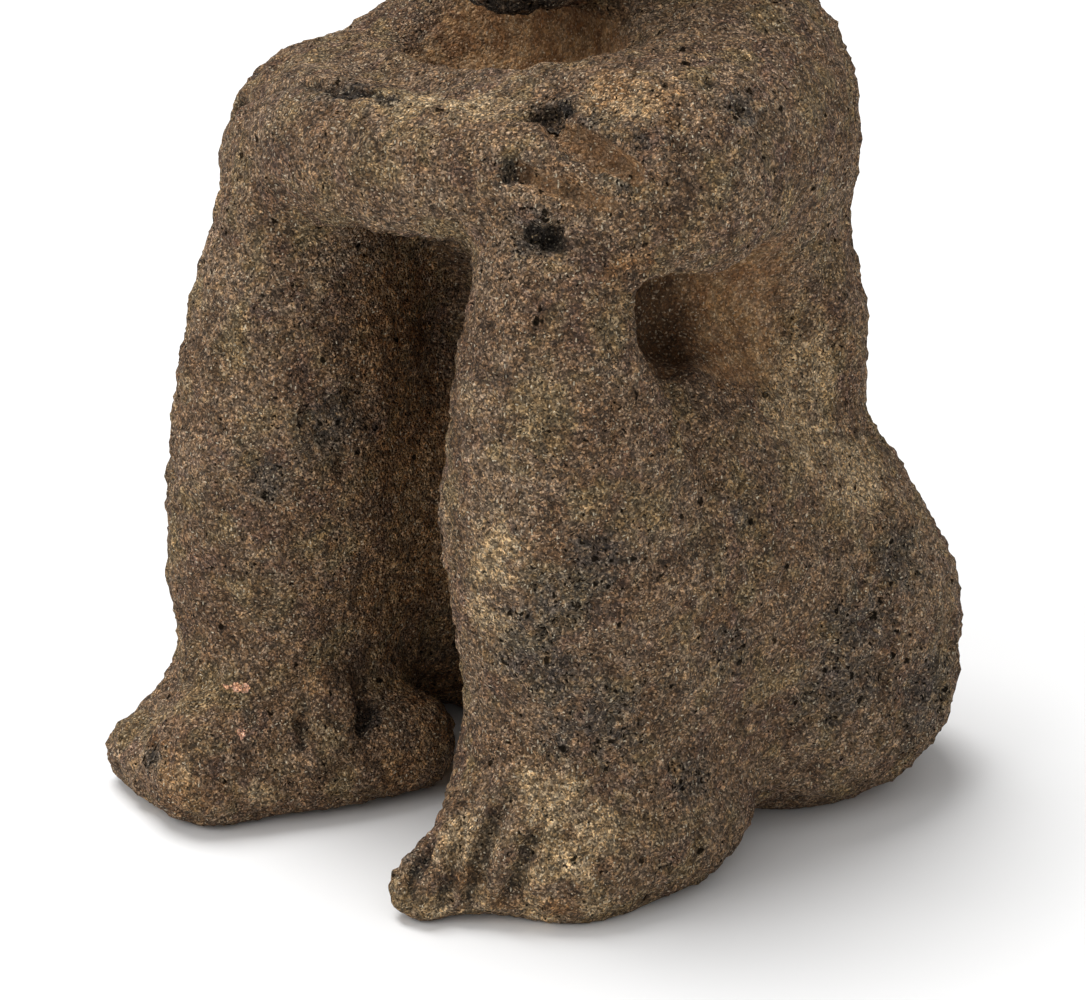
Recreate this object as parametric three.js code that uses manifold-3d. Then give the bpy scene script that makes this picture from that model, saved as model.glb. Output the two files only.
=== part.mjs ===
// A seated figure carved from one block of porous volcanic rock: knees drawn up, both arms folded on
// top of them and the head held low over the arms.
// Millimetres, +Z up. The figure faces -Y and its left hand is towards +X. It is built around the point
// on the ground between its ankles, and moved at the end so that the origin is in the middle of its
// footprint.
import * as THREE from "three";
import { mergeVertices } from "three/addons/utils/BufferGeometryUtils.js";
import Module from "manifold-3d";

// Driving dimensions
const HEIGHT = 270; // ground to crown
const SHOULDER_WIDTH = 112;
const CHEST_DEPTH = 70;
const HIP_WIDTH = 170;
const HAUNCH_WIDTH = 82; // of one haunch
const HEAD_WIDTH = 68;
const HEAD_DEPTH = 76;
const CHIN_HEIGHT = 187.5;

const BODY_CELL = 7.9; // spacing of the grid that the body's skin is drawn on
const HEAD_CELL = 4.4; // the same for the head, which has smaller forms

const at = (x, y, z) => new THREE.Vector3(x, y, z);

// The figure is put together from two kinds of form. A joint is a place on a limb's centre line with
// the limb's half thickness there. An egg has a middle, half sizes, and degrees turned about the vertical.
const joint = (x, y, z, radius) => ({ place: at(x, y, z), radius });
const egg = (x, y, z, halfX, halfY, halfZ, turn = 0) => {
  return { center: at(x, y, z), half: at(halfX, halfY, halfZ), turn };
};

const TRUNK = {
  hips: egg(0, 8, 52, 62, CHEST_DEPTH / 2 + 3, 58),
  belly: egg(0, 7, 106, 63, CHEST_DEPTH / 2 + 3, 60),
  chest: egg(0, 7, 160, SHOULDER_WIDTH / 2, CHEST_DEPTH / 2, 42),
  lap: egg(-5, -28, 142, 40, 20, 17), // the stone left between the belly and the folded arms
};

// Forms that are the same on both sides are given for the left side.
const HAUNCH_MIDDLE = (HIP_WIDTH - HAUNCH_WIDTH) / 2;
const BOTH_SIDES = {
  haunch: egg(HAUNCH_MIDDLE, 11, 39, HAUNCH_WIDTH / 2, 44.5, 40),
  seat: egg(HAUNCH_MIDDLE + 3, 9, 21, 36, 41, 25),
  thighFront: joint(46, -58, 106, 20),
  thighBack: joint(45, 0, 56, 36),
  lapFront: joint(41, -56, 131, 15),
  lapBack: joint(40, -16, 124, 20),
  calfMuscle: egg(48, -36, 56, 29, 44, 50),
};
const LEFT = {
  side: 1,
  leg: [joint(45, -70, 140, 18), joint(46, -70, 112, 24), joint(46, -67, 84, 28), joint(46, -64, 30, 24)],
  foot: egg(48, -65, 16, 27, 33, 20, 20),
  instep: joint(46, -64, 26, 22),
  toes: [joint(37.3, -105, 7, 5.3), joint(57.5, -78, 11, 10.5)],
  footSide: [joint(57.5, -78, 11, 10.5), joint(65, -57, 12, 12), joint(62, -42, 13, 13)],
  upperArm: [joint(28, 0, 165, 24), joint(46, -20, 163, 25.5), joint(52, -46, 161, 23)],
  foreArm: [joint(52, -46, 161, 23), joint(25, -54, 162, 20), joint(-15, -51, 161, 17)],
  hand: [joint(-40, -48, 162, 13), joint(-56, -46, 159, 9)],
};
const RIGHT = {
  side: -1,
  leg: [
    joint(-41, -63, 136, 20.5),
    joint(-43, -64.5, 112, 25.5),
    joint(-44, -68, 78, 28),
    joint(-46, -69, 44, 26.5),
    joint(-45, -68, 28, 23),
  ],
  foot: egg(-47, -72, 13, 27, 29, 17, -22),
  instep: joint(-44, -70, 25, 20),
  toes: [joint(-37, -102, 13, 11), joint(-50, -105, 9, 8.5), joint(-63.3, -102.3, 8, 5)],
  footSide: [joint(-36, -101, 13, 11), joint(-24, -85, 12, 12), joint(-14, -60, 12, 12)],
  upperArm: [joint(-42, 12, 168, 25), joint(-50, -16, 159, 21), joint(-50, -50, 152, 19)],
  foreArm: [joint(-50, -50, 152, 19), joint(-22, -72, 159, 16.5), joint(14, -77, 161, 15)],
  hand: [joint(40, -70, 163, 12), joint(57, -56, 162, 9)],
};

// The hollows that the carver left: behind the folded arms, under each arm between the knee and the
// flank, and down the back of each knee.
const BEHIND_ARMS = egg(-3, -36, 182, 34, 19, 24, -16);
const UNDER_ARM = [joint(48.5, -50.5, 137, 8.5), joint(92, 10, 113, 28)];
const UNDER_ARM_SLOT = egg(67, -41, 131.5, 18, 20, 8.5, 10);
const KNEE_POCKET = [joint(52, -43, 124, 7), joint(64, -54, 131, 10.5)];
const BEHIND_KNEE = [
  joint(61, -58, 137, 6),
  joint(64, -54, 130, 9),
  joint(66, -52, 120, 7.5),
  joint(69, -51.5, 110, 5),
  joint(73, -50, 98, 1.5),
];

// The head is a plain egg with a face of ordinary proportions: the eyes are half way up, and the nose
// ends half way between the brows and the chin. The hair is a smooth cap, with a straight edge above the
// brow and down to the nape.
const HEAD = at(0, -10, HEIGHT - 39);
const FACE_FRONT = HEAD.y - HEAD_DEPTH / 2;
const BROW = HEAD.z + 10;
const EYES = HEAD.z + 1;
const NOSE_END = (BROW + CHIN_HEIGHT) / 2;
const MOUTH = CHIN_HEIGHT + 17;
const FACE = {
  cranium: egg(0, HEAD.y, HEAD.z, HEAD_WIDTH / 2, HEAD_DEPTH / 2, 38),
  jaw: egg(0, HEAD.y - 16, CHIN_HEIGHT + 23, 27, 22, 23),
  chin: egg(0, HEAD.y - 31, CHIN_HEIGHT + 9, 12, 8, 8),
  browMiddle: joint(0, FACE_FRONT + 4, BROW, 3),
  browEnd: joint(22, FACE_FRONT + 14, BROW - 2, 3),
  noseBridge: joint(0, FACE_FRONT + 5, BROW - 2, 4),
  noseTip: joint(0, FACE_FRONT - 4, NOSE_END + 4, 5),
  noseWing: egg(5.5, FACE_FRONT + 1, NOSE_END + 3, 4, 6, 4),
  upperLip: joint(0, FACE_FRONT - 1.5, MOUTH + 2.5, 3),
  upperLipEnd: joint(10, FACE_FRONT + 1.5, MOUTH + 2.5, 1.5),
  lowerLip: joint(0, FACE_FRONT - 1.5, MOUTH - 2.5, 3),
  lowerLipEnd: joint(8, FACE_FRONT + 1.5, MOUTH - 2.5, 1.5),
  eyeSocket: egg(14, FACE_FRONT + 1, EYES, 10, 4, 6, 15),
  eye: egg(14, FACE_FRONT + 6, EYES, 7, 5, 4, 15),
  ear: egg(HEAD_WIDTH / 2 + 1, HEAD.y + 4, HEAD.z - 4, 5, 9, 13),
  hair: egg(0, HEAD.y + 1, HEAD.z + 2, HEAD_WIDTH / 2 + 2, HEAD_DEPTH / 2 + 2, 37),
  foreheadEdge: at(0, HEAD.y - 34, HEAD.z + 20),
  napeEdge: at(0, HEAD.y + 34, HEAD.z - 22),
  neckFoot: joint(0, 9, 174, 30),
  neckTop: joint(0, HEAD.y + 6, HEAD.z - 14, 27),
};

// How far two forms run into each other where they meet
const SOFT = 20;
const MEDIUM = 14;
const FIRM = 10;
const CRISP = 6;
const FINE = 3;
const SHARP = 1;

const BODY_BOX = { low: at(-120, -140, -40), high: at(120, 90, 230) };
const HEAD_BOX = { low: at(-50, -80, 130), high: at(50, 50, HEIGHT + 15) };

const { abs, min, max, hypot } = Math;

function jointOn(side, { place, radius }) {
  return joint(side * place.x, place.y, place.z, radius);
}

function eggOn(side, { center, half, turn }) {
  return { center: at(side * center.x, center.y, center.z), half, turn: side * turn };
}

// A field gives the distance from a point to a form's skin, below zero inside it.
function lump({ center, half, turn }) {
  const c = Math.cos(THREE.MathUtils.degToRad(turn));
  const s = Math.sin(THREE.MathUtils.degToRad(turn));
  return (x, y, z) => {
    const dx = x - center.x;
    const dy = y - center.y;
    const a = (c * dx + s * dy) / half.x;
    const b = (c * dy - s * dx) / half.y;
    const d = (z - center.z) / half.z;
    const reach = hypot(a, b, d);
    const slope = hypot(a / half.x, b / half.y, d / half.z);
    return slope === 0 ? -min(half.x, half.y, half.z) : (reach * (reach - 1)) / slope;
  };
}

function taper(a, b) {
  const along = b.place.clone().sub(a.place);
  const square = along.lengthSq();
  const from = a.place;
  return (x, y, z) => {
    const dx = x - from.x;
    const dy = y - from.y;
    const dz = z - from.z;
    const t = min(1, max(0, (dx * along.x + dy * along.y + dz * along.z) / square));
    const gap = hypot(dx - t * along.x, dy - t * along.y, dz - t * along.z);
    return gap - a.radius - t * (b.radius - a.radius);
  };
}

// A rounded limb on a smooth curve through its joints
function limb(...joints) {
  const steps = 6 * (joints.length - 1);
  const line = new THREE.CatmullRomCurve3(joints.map((j) => j.place), false, "centripetal");
  const girth = new THREE.SplineCurve(joints.map((j, i) => new THREE.Vector2(i, j.radius)));
  const stops = [];
  for (let i = 0; i <= steps; i++)
    stops.push({ place: line.getPoint(i / steps), radius: girth.getPoint(i / steps).y });
  const pieces = stops.slice(1).map((stop, i) => taper(stops[i], stop));
  return (x, y, z) => {
    let d = Infinity;
    for (const piece of pieces) d = min(d, piece(x, y, z));
    return d;
  };
}

// A bow from one end, through the middle, to the mirrored end
function bow(middle, end) {
  return limb(jointOn(-1, end), middle, end);
}

function meet(a, b, softness) {
  const near = max(softness - abs(a - b), 0);
  return min(a, b) - (near * near) / (4 * softness);
}

function blend(softness, ...fields) {
  return (x, y, z) => fields.reduce((d, field) => meet(d, field(x, y, z), softness), Infinity);
}

function carve(softness, field, ...tools) {
  return (x, y, z) => tools.reduce((d, tool) => -meet(-d, tool(x, y, z), softness), field(x, y, z));
}

function haunch(side) {
  return blend(FIRM, lump(eggOn(side, BOTH_SIDES.haunch)), lump(eggOn(side, BOTH_SIDES.seat)));
}

function leg({ side, leg }) {
  const { thighFront, thighBack, lapFront, lapBack, calfMuscle } = BOTH_SIDES;
  return blend(
    MEDIUM,
    limb(...leg),
    taper(jointOn(side, thighFront), jointOn(side, thighBack)),
    taper(jointOn(side, lapFront), jointOn(side, lapBack)),
    lump(eggOn(side, calfMuscle)),
  );
}

function foot({ foot, instep, toes, footSide }) {
  const rays = [toes.at(0), toes.at(-1)].map((toe) => taper(instep, toe));
  return blend(FIRM, lump(foot), ...rays, limb(...toes), limb(...footSide));
}

function body() {
  const trunk = blend(SOFT, lump(TRUNK.hips), lump(TRUNK.belly), lump(TRUNK.chest));
  const upperArms = [LEFT, RIGHT].map(({ upperArm }) => limb(...upperArm));
  const shoulders = blend(SOFT, trunk, haunch(1), haunch(-1), ...upperArms);
  const legs = blend(MEDIUM, shoulders, leg(LEFT), leg(RIGHT));
  const feet = blend(FIRM, legs, foot(LEFT), foot(RIGHT));
  const foreArms = [LEFT, RIGHT].map(({ foreArm, hand }) => limb(...foreArm, ...hand));
  const arms = blend(FIRM, feet, blend(CRISP, ...foreArms), lump(TRUNK.lap));
  const underArms = [1, -1].map((side) => taper(...UNDER_ARM.map((end) => jointOn(side, end))));
  const slots = [1, -1].map((side) => lump(eggOn(side, UNDER_ARM_SLOT)));
  const pockets = [1, -1].map((side) => taper(...KNEE_POCKET.map((end) => jointOn(side, end))));
  const behindKnees = [1, -1].map((side) => limb(...BEHIND_KNEE.map((end) => jointOn(side, end))));
  const hollowed = carve(CRISP, arms, lump(BEHIND_ARMS), ...pockets, ...behindKnees);
  return carve(FINE, hollowed, ...underArms, ...slots);
}

function hair() {
  const cap = lump(FACE.hair);
  const { foreheadEdge, napeEdge } = FACE;
  const fall = at(0, foreheadEdge.z - napeEdge.z, napeEdge.y - foreheadEdge.y).normalize();
  const belowEdge = (x, y, z) => -((y - napeEdge.y) * fall.y + (z - napeEdge.z) * fall.z);
  return (x, y, z) => max(cap(x, y, z), belowEdge(x, y, z));
}

function head() {
  const pair = (form) => [lump(form), lump(eggOn(-1, form))];
  const skull = blend(FIRM, lump(FACE.cranium), lump(FACE.jaw), lump(FACE.chin));
  const nose = blend(FINE, taper(FACE.noseBridge, FACE.noseTip), ...pair(FACE.noseWing));
  const face = blend(CRISP, skull, bow(FACE.browMiddle, FACE.browEnd), nose);
  const lips = blend(SHARP, bow(FACE.upperLip, FACE.upperLipEnd), bow(FACE.lowerLip, FACE.lowerLipEnd));
  const finished = blend(SHARP, carve(CRISP, face, ...pair(FACE.eyeSocket)), ...pair(FACE.eye), lips);
  const neck = carve(CRISP, taper(FACE.neckFoot, FACE.neckTop), lump(BEHIND_ARMS));
  return blend(CRISP, neck, blend(FINE, finished, hair(), ...pair(FACE.ear)));
}

// The skin of a field, drawn on a grid of cubes. Each cube that the skin passes gets a vertex for each
// separate sheet in it, and each grid edge that the skin crosses gets a quad between the four cubes
// around it.
const AXES = [0, 1, 2];
const BITS = [1, 2, 4];
const CORNERS = [0, 1, 2, 3, 4, 5, 6, 7].map((c) => [c & 1, (c >> 1) & 1, c >> 2]);
const EDGES = AXES.flatMap((axis) =>
  CORNERS.flatMap((_, c) => (c & BITS[axis] ? [] : [{ axis, from: c, to: c | BITS[axis] }])),
);
const edgeBetween = (p, q) => EDGES.findIndex((e) => e.from === min(p, q) && e.to === max(p, q));
const FACES = AXES.flatMap((axis) =>
  [0, BITS[axis]].map((side) => {
    const [u, v] = AXES.filter((other) => other !== axis).map((other) => BITS[other]);
    const ring = [side, side | u, side | u | v, side | v];
    return { ring, edges: ring.map((c, i) => edgeBetween(c, ring[(i + 1) % 4])) };
  }),
);

// Puts the crossed edges of a cube into groups, one for each sheet. Two edges of a face belong together
// when one corner, or a run of corners, inside the solid lies between them.
function sheetsOf(inside) {
  const group = EDGES.map((e, i) => (inside[e.from] === inside[e.to] ? -1 : i));
  const root = (i) => (group[i] === i ? i : root(group[i]));
  for (const { ring, edges } of FACES)
    for (let i = 0; i < 4; i++) {
      let j = (i + 1) % 4;
      if (inside[ring[i]] || !inside[ring[j]]) continue;
      while (inside[ring[(j + 1) % 4]]) j = (j + 1) % 4;
      group[root(edges[j])] = root(edges[i]);
    }
  return group.map((g, i) => (g < 0 ? -1 : root(i)));
}

// Moves a point along the field's slope onto the skin, and stays near the point where the field is flat.
function settle(field, point, cell) {
  const step = cell / 100;
  const furthest = cell / 4;
  const flattest = 0.05;
  for (let pass = 0; pass < 2; pass++) {
    const here = field(point.x, point.y, point.z);
    const slope = at(
      field(point.x + step, point.y, point.z) - here,
      field(point.x, point.y + step, point.z) - here,
      field(point.x, point.y, point.z + step) - here,
    ).divideScalar(step);
    if (slope.lengthSq() < flattest) return;
    const move = THREE.MathUtils.clamp(here / slope.lengthSq(), -furthest, furthest);
    point.addScaledVector(slope, -move);
  }
}

// Splits a quad along its shorter diagonal.
function trianglesOf(points, [a, b, c, d]) {
  const shortAC = points[a].distanceTo(points[c]) < points[b].distanceTo(points[d]);
  return shortAC ? [a, b, c, a, c, d] : [a, b, d, b, c, d];
}

function skin(field, { low, high }, cell) {
  const [nx, ny, nz] = high.clone().sub(low).divideScalar(cell).ceil().toArray();
  const id = (i, j, k) => i + nx * (j + ny * k);
  const value = new Float32Array(nx * ny * nz);
  for (let k = 0; k < nz; k++)
    for (let j = 0; j < ny; j++)
      for (let i = 0; i < nx; i++)
        value[id(i, j, k)] = field(low.x + i * cell, low.y + j * cell, low.z + k * cell);
  const isInside = (n) => value[n] < 0;

  const points = [];
  const pointOn = new Map(); // a cube's number times 12, plus its edge, to the point of the sheet there
  const addPoint = (cube, corners, sheets, sheet) => {
    const mine = EDGES.map((_, e) => e).filter((e) => sheets[e] === sheet);
    const middle = at(0, 0, 0);
    for (const e of mine) {
      const { axis, from, to } = EDGES[e];
      const [a, b] = [value[corners[from]], value[corners[to]]];
      middle.add(at(...CORNERS[from]).setComponent(axis, a / (a - b)));
      pointOn.set(12 * corners[0] + e, points.length);
    }
    middle.divideScalar(mine.length).add(cube).multiplyScalar(cell).add(low);
    settle(field, middle, cell);
    points.push(middle);
  };
  for (let k = 0; k < nz - 1; k++)
    for (let j = 0; j < ny - 1; j++)
      for (let i = 0; i < nx - 1; i++) {
        const corners = CORNERS.map(([a, b, c]) => id(i + a, j + b, k + c));
        const inside = corners.map(isInside);
        if (inside.every((flag) => flag === inside[0])) continue;
        const sheets = sheetsOf(inside);
        for (const sheet of new Set(sheets)) if (sheet >= 0) addPoint(at(i, j, k), corners, sheets, sheet);
      }

  const index = [];
  const addQuad = (axis, i, j, k) => {
    const stride = [1, nx, nx * ny];
    const from = id(i, j, k);
    if (isInside(from) === isInside(from + stride[axis])) return;
    const [u, v] = [(axis + 1) % 3, (axis + 2) % 3];
    const around = [[0, 0], [1, 0], [1, 1], [0, 1]].map(([du, dv]) => {
      const edge = edgeBetween(du * BITS[u] + dv * BITS[v], du * BITS[u] + dv * BITS[v] + BITS[axis]);
      return pointOn.get(12 * (from - du * stride[u] - dv * stride[v]) + edge);
    });
    if (!isInside(from)) around.reverse();
    index.push(...trianglesOf(points, around));
  };
  for (let k = 1; k < nz - 1; k++)
    for (let j = 1; j < ny - 1; j++)
      for (let i = 1; i < nx - 1; i++)
        for (const axis of AXES) addQuad(axis, i, j, k);
  return new THREE.BufferGeometry().setFromPoints(points).setIndex(index);
}

const wasm = await Module();
wasm.setup();

function solidOf(geometry) {
  const vertProperties = geometry.attributes.position.array;
  const triVerts = new Uint32Array(geometry.index.array);
  return new wasm.Manifold(new wasm.Mesh({ numProp: 3, vertProperties, triVerts }));
}

function geometryOf(solid) {
  const mesh = solid.getMesh();
  const geometry = new THREE.BufferGeometry();
  geometry.setAttribute("position", new THREE.Float32BufferAttribute(mesh.vertProperties, 3));
  return geometry.setIndex(new THREE.BufferAttribute(mesh.triVerts, 1));
}

// Everything below the ground, which cuts the soles and the seat flat
function underground() {
  const block = new THREE.BoxGeometry(2 * HEIGHT, 2 * HEIGHT, HEIGHT).translate(0, 0, -HEIGHT / 2);
  block.deleteAttribute("normal");
  block.deleteAttribute("uv");
  return solidOf(mergeVertices(block));
}

const bodySolid = solidOf(skin(body(), BODY_BOX, BODY_CELL));
const headSolid = solidOf(skin(head(), HEAD_BOX, HEAD_CELL));
const carved = geometryOf(bodySolid.add(headSolid).subtract(underground()));
carved.computeBoundingBox();
const middle = carved.boundingBox.getCenter(new THREE.Vector3());
carved.translate(-middle.x, -middle.y, 0);

const stone = new THREE.MeshStandardMaterial({ color: 0x5e5044, roughness: 0.95, metalness: 0 });
const figure = new THREE.Mesh(carved, stone);
figure.name = "seated_figure";
const part = new THREE.Group();
part.add(figure);
export default part;
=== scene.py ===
"""The looks of a seated figure carved from porous volcanic stone.

The solid in the frame has the outline and the larger carving. This script draws the same forms again on
a finer grid, adds the small carving and the worn, pitted surface, and gives it the stone's colours.
Lengths are in millimetres around the point on the ground between the ankles, until the finished mesh is
moved into the frame.
"""

import math

import bpy
import numpy as np
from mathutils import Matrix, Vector
from mathutils.kdtree import KDTree


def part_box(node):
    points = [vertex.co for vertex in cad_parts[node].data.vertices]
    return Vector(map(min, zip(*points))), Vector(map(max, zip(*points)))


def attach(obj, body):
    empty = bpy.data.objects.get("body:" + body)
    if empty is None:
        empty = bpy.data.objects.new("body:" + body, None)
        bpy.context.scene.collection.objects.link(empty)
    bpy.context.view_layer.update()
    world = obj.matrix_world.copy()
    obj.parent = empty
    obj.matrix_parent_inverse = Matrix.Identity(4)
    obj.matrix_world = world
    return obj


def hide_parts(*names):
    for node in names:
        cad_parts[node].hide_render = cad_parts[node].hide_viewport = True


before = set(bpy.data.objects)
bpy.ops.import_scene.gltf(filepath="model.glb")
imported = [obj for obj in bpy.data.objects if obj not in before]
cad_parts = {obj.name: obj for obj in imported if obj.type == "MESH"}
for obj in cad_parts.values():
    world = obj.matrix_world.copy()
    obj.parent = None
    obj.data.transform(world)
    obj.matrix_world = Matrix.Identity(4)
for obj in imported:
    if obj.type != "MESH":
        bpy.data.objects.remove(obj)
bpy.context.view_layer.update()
NODE = "seated_figure"

# Driving dimensions, as in the solid
HEIGHT = 270.0
SHOULDER_WIDTH = 112.0
CHEST_DEPTH = 70.0
HIP_WIDTH = 170.0
HAUNCH_WIDTH = 82.0
HEAD_WIDTH = 68.0
HEAD_DEPTH = 76.0
CHIN_HEIGHT = 187.5

CELL = 1.55  # spacing of the grid that the skin is drawn on
MM = 0.001
SEED = 7


# The figure is put together from two kinds of form. A joint is a place on a limb's centre line with the
# limb's half thickness there. An egg has a middle, half sizes, and degrees turned about the vertical.
def joint(x, y, z, radius):
    return np.array((x, y, z, radius), float)


def egg(x, y, z, half_x, half_y, half_z, turn=0.0):
    return {"center": (x, y, z), "half": (half_x, half_y, half_z), "turn": turn}


TRUNK = {
    "hips": egg(0, 8, 52, 62, CHEST_DEPTH / 2 + 3, 58),
    "belly": egg(0, 7, 106, 63, CHEST_DEPTH / 2 + 3, 60),
    "chest": egg(0, 7, 160, SHOULDER_WIDTH / 2, CHEST_DEPTH / 2, 42),
    "lap": egg(-5, -28, 142, 40, 20, 17),
}

# Forms that are the same on both sides are given for the left side.
HAUNCH_MIDDLE = (HIP_WIDTH - HAUNCH_WIDTH) / 2
BOTH_SIDES = {
    "haunch": egg(HAUNCH_MIDDLE, 11, 39, HAUNCH_WIDTH / 2, 44.5, 40),
    "seat": egg(HAUNCH_MIDDLE + 3, 9, 21, 36, 41, 25),
    "thigh": (joint(46, -58, 106, 20), joint(45, 0, 56, 36)),
    "lap": (joint(41, -56, 131, 15), joint(40, -16, 124, 20)),
    "calf_muscle": egg(48, -36, 56, 29, 44, 50),
}
LEFT = {
    "side": 1,
    "leg": (
        joint(45, -70, 140, 18),
        joint(46, -70, 112, 24),
        joint(46, -67, 84, 28),
        joint(46, -64, 30, 24),
    ),
    "foot": egg(48, -65, 16, 27, 33, 20, 20),
    "instep": joint(46, -64, 26, 22),
    "toes": (joint(37.3, -105, 7, 5.3), joint(57.5, -78, 11, 10.5)),
    "foot_side": (joint(57.5, -78, 11, 10.5), joint(65, -57, 12, 12), joint(62, -42, 13, 13)),
    "upper_arm": (joint(28, 0, 165, 24), joint(46, -20, 163, 25.5), joint(52, -46, 161, 23)),
    "fore_arm": (joint(52, -46, 161, 23), joint(25, -54, 162, 20), joint(-15, -51, 161, 17)),
    "hand": (joint(-40, -48, 162, 13), joint(-56, -46, 159, 9)),
}
RIGHT = {
    "side": -1,
    "leg": (
        joint(-41, -63, 136, 20.5),
        joint(-43, -64.5, 112, 25.5),
        joint(-44, -68, 78, 28),
        joint(-46, -69, 44, 26.5),
        joint(-45, -68, 28, 23),
    ),
    "foot": egg(-47, -72, 13, 27, 29, 17, -22),
    "instep": joint(-44, -70, 25, 20),
    "toes": (joint(-37, -102, 13, 11), joint(-50, -105, 9, 8.5), joint(-63.3, -102.3, 8, 5)),
    "foot_side": (joint(-36, -101, 13, 11), joint(-24, -85, 12, 12), joint(-14, -60, 12, 12)),
    "upper_arm": (joint(-42, 12, 168, 25), joint(-50, -16, 159, 21), joint(-50, -50, 152, 19)),
    "fore_arm": (joint(-50, -50, 152, 19), joint(-22, -72, 159, 16.5), joint(14, -77, 161, 15)),
    "hand": (joint(40, -70, 163, 12), joint(57, -56, 162, 9)),
}

# The larger hollows: behind the folded arms, under each arm, and down the back of each knee
BEHIND_ARMS = egg(-3, -36, 182, 34, 19, 24, -16)
UNDER_ARM = (joint(48.5, -50.5, 137, 8.5), joint(92, 10, 113, 28))
UNDER_ARM_SLOT = egg(67, -41, 131.5, 18, 20, 8.5, 10)
KNEE_POCKET = (joint(52, -43, 124, 7), joint(64, -54, 131, 10.5))
BEHIND_KNEE = (
    joint(61, -58, 137, 6),
    joint(64, -54, 130, 9),
    joint(66, -52, 120, 7.5),
    joint(69, -51.5, 110, 5),
    joint(73, -50, 98, 1.5),
)

# The head, with a plain face of ordinary proportions
HEAD = np.array((0.0, -10.0, HEIGHT - 39))
FACE_FRONT = HEAD[1] - HEAD_DEPTH / 2
BROW = HEAD[2] + 10
EYES = HEAD[2] + 1
NOSE_END = (BROW + CHIN_HEIGHT) / 2
MOUTH = CHIN_HEIGHT + 17
FACE = {
    "cranium": egg(0, HEAD[1], HEAD[2], HEAD_WIDTH / 2, HEAD_DEPTH / 2, 38),
    "jaw": egg(0, HEAD[1] - 16, CHIN_HEIGHT + 23, 27, 22, 23),
    "chin": egg(0, HEAD[1] - 31, CHIN_HEIGHT + 9, 12, 8, 8),
    "brow": joint(0, FACE_FRONT + 4, BROW, 3),
    "brow_end": joint(22, FACE_FRONT + 14, BROW - 2, 3),
    "nose": (joint(0, FACE_FRONT + 5, BROW - 2, 4), joint(0, FACE_FRONT - 4, NOSE_END + 4, 5)),
    "nose_wing": egg(5.5, FACE_FRONT + 1, NOSE_END + 3, 4, 6, 4),
    "upper_lip": joint(0, FACE_FRONT - 1.5, MOUTH + 2.5, 3),
    "upper_lip_end": joint(10, FACE_FRONT + 1.5, MOUTH + 2.5, 1.5),
    "lower_lip": joint(0, FACE_FRONT - 1.5, MOUTH - 2.5, 3),
    "lower_lip_end": joint(8, FACE_FRONT + 1.5, MOUTH - 2.5, 1.5),
    "eye_socket": egg(14, FACE_FRONT + 1, EYES, 10, 4, 6, 15),
    "eye": egg(14, FACE_FRONT + 6, EYES, 7, 5, 4, 15),
    "ear": egg(HEAD_WIDTH / 2 + 1, HEAD[1] + 4, HEAD[2] - 4, 5, 9, 13),
    "hair": egg(0, HEAD[1] + 1, HEAD[2] + 2, HEAD_WIDTH / 2 + 2, HEAD_DEPTH / 2 + 2, 37),
    "forehead_edge": np.array((0, HEAD[1] - 34, HEAD[2] + 20)),
    "nape_edge": np.array((0, HEAD[1] + 34, HEAD[2] - 22)),
    "neck": (joint(0, 9, 174, 30), joint(0, HEAD[1] + 6, HEAD[2] - 14, 27)),
}

# The finer carving of the face: the lids' edges, the line between the lips and the folds of the cheeks
FACE_LINES = {
    "lid": (
        joint(7.5, FACE_FRONT + 2.4, EYES - 1.5, 0.9),
        joint(14, FACE_FRONT + 1.6, EYES - 3, 1.2),
        joint(20.5, FACE_FRONT + 6, EYES - 1.5, 0.9),
    ),
    "upper_lid": (
        joint(7, FACE_FRONT + 3, EYES + 3, 0.9),
        joint(14, FACE_FRONT + 2.4, EYES + 5, 1.2),
        joint(21.5, FACE_FRONT + 7, EYES + 2, 0.9),
    ),
    "mouth": (
        joint(0, FACE_FRONT - 4, MOUTH, 1.5),
        joint(6, FACE_FRONT - 3, MOUTH, 1.3),
        joint(11.5, FACE_FRONT + 1, MOUTH - 0.5, 1.2),
    ),
    "cheek": (
        joint(9, FACE_FRONT + 1, NOSE_END + 4, 0.8),
        joint(12, FACE_FRONT + 2, NOSE_END - 2, 1.0),
        joint(14, FACE_FRONT + 4, NOSE_END - 8, 0.7),
    ),
}

# How far two forms run into each other where they meet
SOFT = 20.0
MEDIUM = 14.0
FIRM = 10.0
CRISP = 6.0
FINE = 3.0
SHARP = 1.0

BOX_LOW = np.array((-120.0, -140.0, -36.0))
BOX_HIGH = np.array((120.0, 90.0, HEIGHT + 15))

MIRROR = np.array((-1, 1, 1, 1))


def joint_on(side, form):
    return form if side > 0 else form * MIRROR


def egg_on(side, form):
    x, y, z = form["center"]
    return {"center": (side * x, y, z), "half": form["half"], "turn": side * form["turn"]}


def on_both_sides(form):
    """An egg or a row of joints, given for the left side, and its mirror image on the right side."""
    if isinstance(form, dict):
        return [egg_on(side, form) for side in (1, -1)]
    return [[joint_on(side, end) for end in form] for side in (1, -1)]


# A field takes a 3-row array of points and gives each point's distance from a form's skin, below zero
# inside it.
def lump(form):
    middle = form["center"]
    half = form["half"]
    c = math.cos(math.radians(form["turn"]))
    s = math.sin(math.radians(form["turn"]))

    def field(p):
        dx = p[0] - middle[0]
        dy = p[1] - middle[1]
        a = (c * dx + s * dy) / half[0]
        b = (c * dy - s * dx) / half[1]
        d = (p[2] - middle[2]) / half[2]
        reach = np.sqrt(a * a + b * b + d * d)
        slope = np.sqrt((a / half[0]) ** 2 + (b / half[1]) ** 2 + (d / half[2]) ** 2)
        return reach * (reach - 1) / np.maximum(slope, 1e-6)

    return field


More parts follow.
